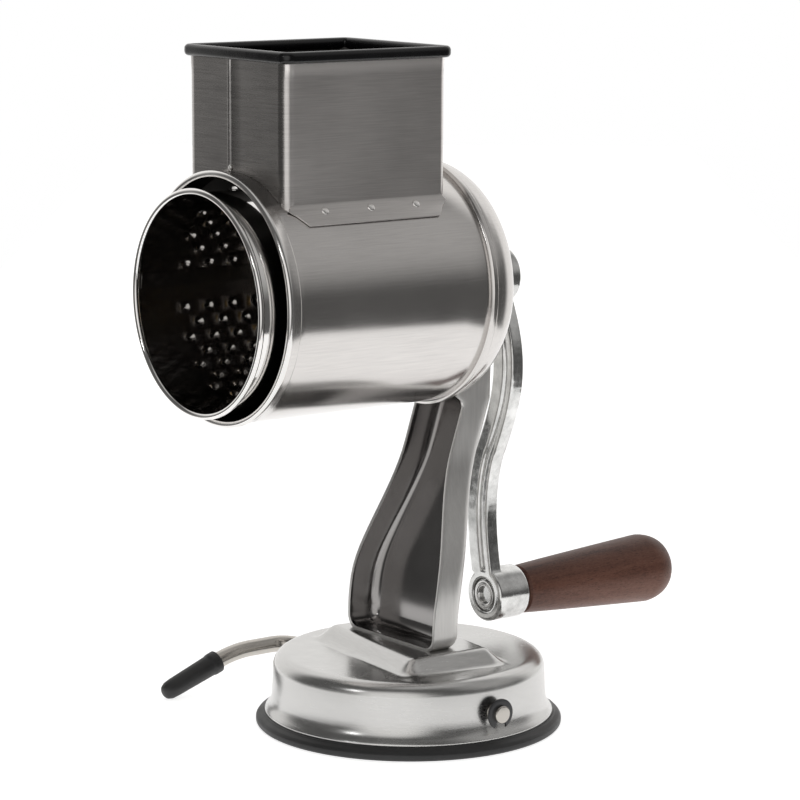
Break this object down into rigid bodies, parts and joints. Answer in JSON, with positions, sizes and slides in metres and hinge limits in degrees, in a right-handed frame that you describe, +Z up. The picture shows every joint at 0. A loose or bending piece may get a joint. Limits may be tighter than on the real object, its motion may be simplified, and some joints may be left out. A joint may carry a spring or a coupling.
{
  "type": "rotary cheese grater",
  "caption": "Hand-cranked drum grater: square feed hopper on a tubular housing, removable toothed drum, wooden grip, curved stand and lever-locked suction base.",
  "frame": {"origin": "centre of the suction base on the table", "axes": "+Z up; the drum's axis runs along Y with its open mouth towards -Y and the crank towards +Y; the suction lever leaves the base towards -X"},
  "size_m": [0.1518, 0.2378, 0.2751],
  "materials": {
    "satin_steel": "fine brushed",
    "polished_steel": "polished",
    "plain_steel": "turned",
    "nickel": "bright plated",
    "black_steel": "blackened spring steel",
    "cast_aluminium": "rough polished casting",
    "brass": "turned",
    "white_plastic": "plain",
    "dark_wood": "satin oiled",
    "pad_rubber": "moulded semi-gloss",
    "black_edging": "smooth moulded"
  },
  "bodies": {
    "root": {"pad_ring": "pad_rubber", "pad_membrane": "pad_rubber", "base_dome": "satin_steel", "stand": "satin_steel", "back_cap": "satin_steel", "housing_tube": "satin_steel", "hopper": "satin_steel", "hopper_rim": "black_edging", "bearing_bush": "brass", "bearing_nut": "plain_steel", "lock_washer": "plain_steel"},
    "pad": {"pad_core": "pad_rubber", "lift_plate": "plain_steel", "lift_yoke": "plain_steel"},
    "lever": {"lever_rod": "nickel", "lever_cam": "plain_steel", "lever_clip": "black_steel", "lever_cap": "pad_rubber"},
    "crank": {"drive_shaft": "plain_steel", "thrust_washer": "white_plastic", "crank_arm": "cast_aluminium", "crank_screw": "plain_steel", "grip_spindle": "plain_steel", "grip_washer": "plain_steel", "grip_collar": "plain_steel"},
    "grip": {"wood_grip": "dark_wood"},
    "drum": {"drum_shell": "polished_steel", "drum_back": "polished_steel", "drum_socket": "brass", "socket_rivets": "plain_steel"}
  },
  "joints": [
    {"name": "crank_spin", "type": "hinge", "parent": "root", "child": "crank", "pos_m": [0, 0.03, 0.179], "axis": [0, 1, 0], "continuous": true},
    {"name": "grip_spin", "type": "hinge", "parent": "crank", "child": "grip", "pos_m": [0, 0.09, 0.0465], "axis": [0, 1, 0], "continuous": true},
    {"name": "drum_pull", "type": "slide", "parent": "crank", "child": "drum", "axis": [0, -1, 0], "range_m": [0, 0.115]},
    {"name": "lever_turn", "type": "hinge", "parent": "root", "child": "lever", "pos_m": [0, 0, 0.0154], "axis": [-1, 0, 0], "range_deg": [0, 150]},
    {"name": "pad_lift", "type": "slide", "parent": "root", "child": "pad", "axis": [0, 0, 1], "range_m": [0, 0.0035], "deforming": ["pad_membrane"]}
  ],
  "couplings": [
    {"joint": "pad_lift", "follows": "lever_turn", "m_per_rad": 0.00132}
  ]
}
